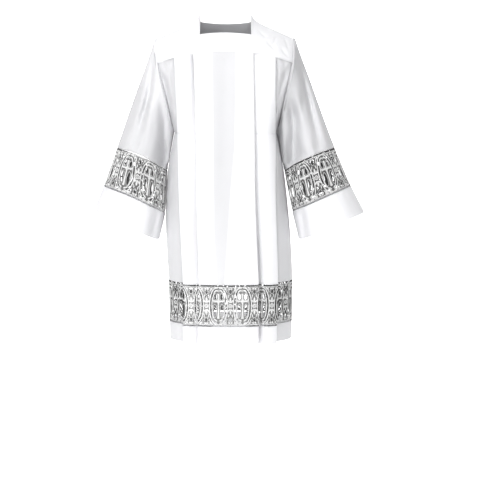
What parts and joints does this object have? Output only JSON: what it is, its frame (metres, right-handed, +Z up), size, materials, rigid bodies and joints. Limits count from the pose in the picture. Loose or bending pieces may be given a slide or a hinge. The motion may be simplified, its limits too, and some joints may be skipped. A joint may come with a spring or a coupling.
{
  "type": "surplice",
  "caption": "White surplice as worn: square-necked yoke, pleated front and back, wide set-in sleeves, and lace insertions above the hem and cuffs.",
  "frame": {"origin": "midway between the shoulders, level with the top of the neck's sides, where the wearer's shoulders hold the garment up", "axes": "+Z up, -Y the way the front faces, +X towards the wearer's left sleeve"},
  "size_m": [0.8026, 0.2888, 0.9636],
  "materials": {
    "cloth": "plain fine weave with a faint sheen, white",
    "lace": "embroidered net, matt white"
  },
  "bodies": {
    "root": {"yoke_front": "cloth", "yoke_back": "cloth", "body_front": "cloth", "body_back": "cloth", "hem_lace_front": "lace", "hem_lace_back": "lace", "hem_band_front": "cloth", "hem_band_back": "cloth", "sleeve_left": "cloth", "sleeve_right": "cloth", "sleeve_lace_left_front": "lace", "sleeve_lace_left_back": "lace", "sleeve_lace_right_front": "lace", "sleeve_lace_right_back": "lace", "cuff_left": "cloth", "cuff_right": "cloth"}
  },
  "joints": []
}
